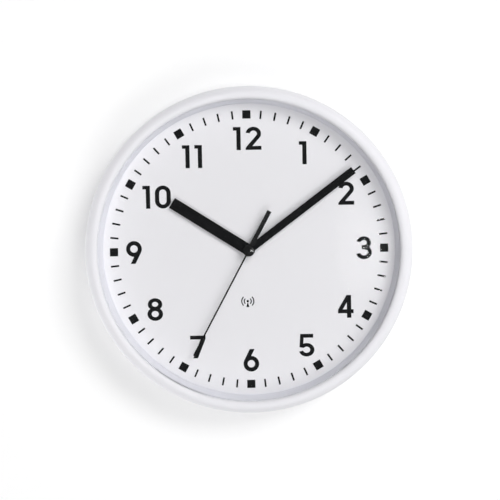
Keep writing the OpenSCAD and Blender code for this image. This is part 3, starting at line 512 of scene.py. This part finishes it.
# Each digit is 17.9 mm high about its own centre, an outline and the outlines of its holes
sixLoops = [
    [(2.8, 8.95)] + arc(0, -2.75, 6.2, 6.2, 90, -205) + [(-1.0, 8.95)],
    arc(0, -2.75, 2.95, 2.95, 0, 360)[:-1],
]
digitLoops = {
    "0": [
        arc(0, 2.9, 6.2, 6.05, 0, 180) + arc(0, -2.9, 6.2, 6.05, 180, 360),
        arc(0, 2.9, 2.85, 3.0, 0, 180) + arc(0, -2.9, 2.85, 3.0, 180, 360),
    ],
    "1": [[(2.95, -8.95), (2.95, 8.95), (-2.95, 8.95), (-2.95, 6.25), (-0.35, 6.25), (-0.35, -8.95)]],
    "2": [
        [(-6.15, -8.95), (6.15, -8.95), (6.15, -5.95), (-0.9, -5.95)]
        + arc(0, 3.6, 6.0, 5.35, -30, 172) + arc(0, 3.6, 2.75, 2.4, 172, -35)
        + [(-5.0, -5.9), (-6.15, -7.3)],
    ],
    "3": [
        arc(-0.1, 4.05, 5.7, 4.9, 168, -43) + arc(0, -3.55, 6.15, 5.4, 52, -168)
        + arc(0, -3.55, 2.9, 2.45, -168, 90) + [(-1.7, -1.1), (-1.7, 2.05)]
        + arc(-0.1, 4.05, 2.4, 2.0, -90, 168),
    ],
    "4": [
        [(4.3, -8.95), (4.3, -5.35), (6.1, -5.35), (6.1, -2.3), (4.3, -2.3), (4.3, 8.95), (0.7, 8.95),
         (-6.1, -2.6), (-6.1, -5.35), (0.9, -5.35), (0.9, -8.95)],
        [(0.9, -2.3), (0.9, 3.2), (-2.34, -2.3)],
    ],
    "5": [
        [(-4.9, 8.95), (5.3, 8.95), (5.3, 5.95), (-2.2, 5.95), (-2.6, 1.2)]
        + arc(0, -3.6, 6.1, 5.35, 108, -165) + arc(0, -3.6, 2.85, 2.45, -165, 142) + [(-5.6, -1.5)],
    ],
    "6": sixLoops,
    "7": [
        [(-6.1, 8.95), (6.1, 8.95), (6.1, 6.3), (-0.2, -8.95), (-3.9, -8.95), (2.1, 5.95),
         (-6.1, 5.95)],
    ],
    "8": [
        arc(0, 4.1, 5.7, 4.85, -45, 225) + arc(0, -3.6, 6.15, 5.35, 128, 412),
        arc(0, 4.15, 2.45, 1.95, 0, 360)[:-1],
        arc(0, -3.55, 2.85, 2.45, 0, 360)[:-1],
    ],
    "9": turned(sixLoops),
}


def shifted(loops, x):
    return [[(u + x, v) for u, v in loop] for loop in loops]


def numeralLoops(text):
    loops = []
    left = 0.0
    for digit in text:
        xs = [p[0] for loop in digitLoops[digit] for p in loop]
        loops += shifted(digitLoops[digit], left - min(xs))
        left += max(xs) - min(xs) + ink["gap"]
    return shifted(loops, -(left - ink["gap"]) / 2)


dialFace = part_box("dial")[0].y


# One closed outline per loop, filled as a flat curve and given its thickness
def outlinePiece(name, loops, middle, thick, finish):
    curve = bpy.data.curves.new(name, "CURVE")
    curve.dimensions = "2D"
    curve.fill_mode = "BOTH"
    curve.extrude = thick / 2 * mm
    for loop in loops:
        line = curve.splines.new("POLY")
        line.points.add(len(loop) - 1)
        for point, (u, v) in zip(line.points, loop):
            point.co = (u * mm, v * mm, 0, 1)
        line.use_cyclic_u = True
    holder = bpy.data.objects.new(name, curve)
    scene.collection.objects.link(holder)
    bpy.context.view_layer.update()
    flat = holder.evaluated_get(bpy.context.evaluated_depsgraph_get())
    mesh = bpy.data.meshes.new_from_object(flat)
    bpy.data.objects.remove(holder)
    mesh.transform(Matrix.Translation(middle) @ Matrix.Rotation(math.pi / 2, 4, "X"))
    bm = bmesh.new()
    bm.from_mesh(mesh)
    bmesh.ops.remove_doubles(bm, verts=bm.verts, dist=1e-6)
    bmesh.ops.recalc_face_normals(bm, faces=bm.faces)
    bm.to_mesh(mesh)
    bm.free()
    piece = bpy.data.objects.new(name, mesh)
    scene.collection.objects.link(piece)
    dress(piece, materials[finish])
    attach(piece, "case")


def printPiece(name, loops, x, z):
    middle = (x * mm, dialFace - (ink["proud"] - ink["sunk"]) / 2 * mm, z * mm)
    outlinePiece(name, loops, middle, ink["proud"] + ink["sunk"], "printBlack")


for hour, (x, z) in ink["centres"].items():
    printPiece("numeral_%d" % hour, numeralLoops(str(hour)), x, z)

# A plain radio mark over the six: a dot on a mast with arcs either side
mark = {
    "place": (-1.6, -40.2), "dot": 0.95, "arcs": (2.3, 4.3), "line": 0.85, "spread": 46,
    "mastTop": (0.32, -1.35), "mastFoot": (1.1, -4.6),
}


def radioLoops():
    loops = [arc(0, 0, mark["dot"], mark["dot"], 0, 360)[:-1]]
    (topHalf, top), (footHalf, foot) = mark["mastTop"], mark["mastFoot"]
    loops.append([(topHalf, top), (footHalf, foot), (-footHalf, foot), (-topHalf, top)])
    for radius in mark["arcs"]:
        for facing in (0, 180):
            outer = arc(0, 0, radius + mark["line"], radius + mark["line"],
                        facing - mark["spread"], facing + mark["spread"])
            inner = arc(0, 0, radius, radius, facing + mark["spread"], facing - mark["spread"])
            loops.append(outer + inner)
    return loops


printPiece("radio_mark", radioLoops(), *mark["place"])
print("numerals and radio mark are printed")

# Pan-head screws with a cross recess, in place of the plain ones of the frame
screw = {
    "shank": 1.25, "threadDepth": 0.25, "threads": 5, "tip": 0.4, "threadStart": 0.5, "neck": 0.3,
    "headHeight": 1.4, "dome": 0.45, "side": 0.45, "domeSteps": 6, "roundness": 0.6,
    "slotLong": 3.2, "slotWide": 0.8, "slotDeep": 0.95, "slotTurn": 24, "around": 36,
}


def spinProfile(bm, profile, steps):
    points = [bm.verts.new((r * mm, 0, h * mm)) for r, h in profile]
    edges = [bm.edges.new(pair) for pair in zip(points, points[1:])]
    bmesh.ops.spin(bm, geom=points + edges, cent=(0, 0, 0), axis=(0, 0, 1), angle=2 * math.pi,
                   steps=steps, use_merge=True)
    bmesh.ops.remove_doubles(bm, verts=bm.verts, dist=1e-7)
    bmesh.ops.recalc_face_normals(bm, faces=bm.faces)


def meshPiece(name, bm):
    mesh = bpy.data.meshes.new(name)
    bm.to_mesh(mesh)
    bm.free()
    piece = bpy.data.objects.new(name, mesh)
    scene.collection.objects.link(piece)
    return piece


# One mesh of several copies, each at its own place
def copies(single, places):
    bm = bmesh.new()
    for place in places:
        start = len(bm.verts)
        bm.from_mesh(single)
        bm.verts.ensure_lookup_table()
        bmesh.ops.transform(bm, matrix=place, verts=bm.verts[start:])
    return bm


# Two crossed blades that taper as a driver's tip does
def crossCutter(top):
    bm = bmesh.new()
    for turn in (0, math.pi / 2):
        made = bmesh.ops.create_cone(
            bm, cap_ends=True, segments=4, radius1=0.25, radius2=0.75, depth=1)["verts"]
        stretch = Matrix.Diagonal(
            (screw["slotLong"] * mm, screw["slotWide"] * mm, 2 * screw["slotDeep"] * mm, 1))
        place = Matrix.Rotation(turn, 4, "Z") @ Matrix.Translation((0, 0, top * mm))
        shape = place @ stretch @ Matrix.Rotation(math.pi / 4, 4, "Z")
        bmesh.ops.transform(bm, matrix=shape, verts=made)
    return bm


def screwProfile(headRadius, length):
    shank, core = screw["shank"], screw["shank"] - screw["threadDepth"]
    pitch = (length - 2 * screw["threadStart"]) / screw["threads"]
    profile = [(0, -length), (core, screw["tip"] - length)]
    for i in range(screw["threads"]):
        low = screw["threadStart"] - length + i * pitch
        profile += [(core, low), (shank, low + pitch / 2)]
    profile += [(core, -screw["neck"]), (shank, 0), (headRadius, 0)]
    edge = (screw["headHeight"] - screw["dome"]) * screw["side"]
    profile.append((headRadius, edge))
    for i in range(1, screw["domeSteps"]):
        a = math.pi / 2 * i / screw["domeSteps"]
        profile.append((headRadius * math.cos(a) ** screw["roundness"],
                        edge + (screw["headHeight"] - edge) * math.sin(a)))
    profile.append((0, screw["headHeight"]))
    return profile


def buildScrew(headRadius, length):
    bm = bmesh.new()
    spinProfile(bm, screwProfile(headRadius, length), screw["around"])
    piece = meshPiece("screwBlank", bm)
    cutter = meshPiece("screwCutter", crossCutter(screw["headHeight"]))
    cut = piece.modifiers.new("recess", "BOOLEAN")
    cut.operation = "DIFFERENCE"
    cut.solver = "EXACT"
    cut.use_self = True
    cut.object = cutter
    bpy.context.view_layer.update()
    mesh = bpy.data.meshes.new_from_object(piece.evaluated_get(bpy.context.evaluated_depsgraph_get()))
    bpy.data.objects.remove(piece)
    bpy.data.objects.remove(cutter)
    return mesh


# The pair has the size and the places of the node that it replaces
def buildScrewPair(name, node):
    low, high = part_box(node)
    radius = (high.z - low.z) / 2
    head = screw["headHeight"] * mm
    single = buildScrew(radius / mm, (high.y - low.y - head) / mm)
    places = []
    for side in (-1, 1):
        middle = Vector((side * (high.x - radius), high.y - head, (low.z + high.z) / 2))
        turn = Matrix.Rotation(math.radians(screw["slotTurn"] * side), 4, "Z")
        places.append(Matrix.Translation(middle) @ Matrix.Rotation(-math.pi / 2, 4, "X") @ turn)
    piece = meshPiece(name, copies(single, places))
    dress(piece, materials["arborSteel"])
    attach(piece, "case")
    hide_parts(node)


buildScrewPair("hanger_screw_pair", "hanger_screws")
buildScrewPair("movement_screw_pair", "movement_screws")

# On the movement's back: polarity signs over the cell, a bare label frame, and a collar round
# each button. All sizes are in mm
mould = {
    "sunk": 0.1,
    "sign": 3.2, "signLine": 0.8, "signProud": 0.4, "signHeight": -12.9,
    "plusAt": 21.5, "minusAt": -21.5,
    "frameWide": 40, "frameHigh": 11, "frameLine": 0.7, "frameCorner": 1.8, "frameProud": 0.3,
    "frameHeight": -1.0,
    "collarIn": 2.75, "collarOut": 3.4, "collarProud": 0.4, "collarAround": 40,
    "roundOut": 0.15, "roundIn": 0.1, "shoulderOut": 0.2, "shoulderIn": 0.24,
}
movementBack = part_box("movement_rear_shell")[1].y


def signLoops():
    long, half = mould["sign"] / 2, mould["signLine"] / 2
    plus = [(long, -half), (long, half), (half, half), (half, long), (-half, long), (-half, half),
            (-long, half), (-long, -half), (-half, -half), (-half, -long), (half, -long),
            (half, -half)]
    minus = [(-long, -half), (long, -half), (long, half), (-long, half)]
    return shifted([plus], mould["plusAt"]) + shifted([minus], mould["minusAt"])


def roundedLoop(wide, high, corner):
    x, y = wide / 2 - corner, high / 2 - corner
    return (arc(x, y, corner, corner, 0, 90) + arc(-x, y, corner, corner, 90, 180)
            + arc(-x, -y, corner, corner, 180, 270) + arc(x, -y, corner, corner, 270, 360))


def frameLoops():
    wide, high = mould["frameWide"], mould["frameHigh"]
    corner, line = mould["frameCorner"], mould["frameLine"]
    return [roundedLoop(wide, high, corner),
            roundedLoop(wide - 2 * line, high - 2 * line, corner - line)]


def raisedPiece(name, loops, height, proud, finish):
    middle = (0, movementBack + (proud - mould["sunk"]) / 2 * mm, height * mm)
    outlinePiece(name, loops, middle, proud + mould["sunk"], finish)


def buildCollars():
    inner, outer, proud = mould["collarIn"], mould["collarOut"], mould["collarProud"]
    low = -mould["sunk"]
    profile = [(inner, low), (outer, low), (outer, mould["shoulderOut"]),
               (outer - mould["roundOut"], proud), (inner + mould["roundIn"], proud),
               (inner, mould["shoulderIn"]), (inner, low)]
    ring = bmesh.new()
    spinProfile(ring, profile, mould["collarAround"])
    single = bpy.data.meshes.new("collar")
    ring.to_mesh(single)
    ring.free()
    places = []
    for button in ("set_button", "receive_button", "reset_button"):
        a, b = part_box(button)
        middle = Vector(((a.x + b.x) / 2, movementBack, (a.z + b.z) / 2))
        places.append(Matrix.Translation(middle) @ Matrix.Rotation(-math.pi / 2, 4, "X"))
    collars = meshPiece("button_collars", copies(single, places))
    dress(collars, materials["movementBlack"])
    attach(collars, "case")


raisedPiece("polarity_signs", signLoops(), mould["signHeight"], mould["signProud"], "signWhite")
raisedPiece("label_frame", frameLoops(), mould["frameHeight"], mould["frameProud"], "movementBlack")
buildCollars()
print("screws and moulded marks are in place")
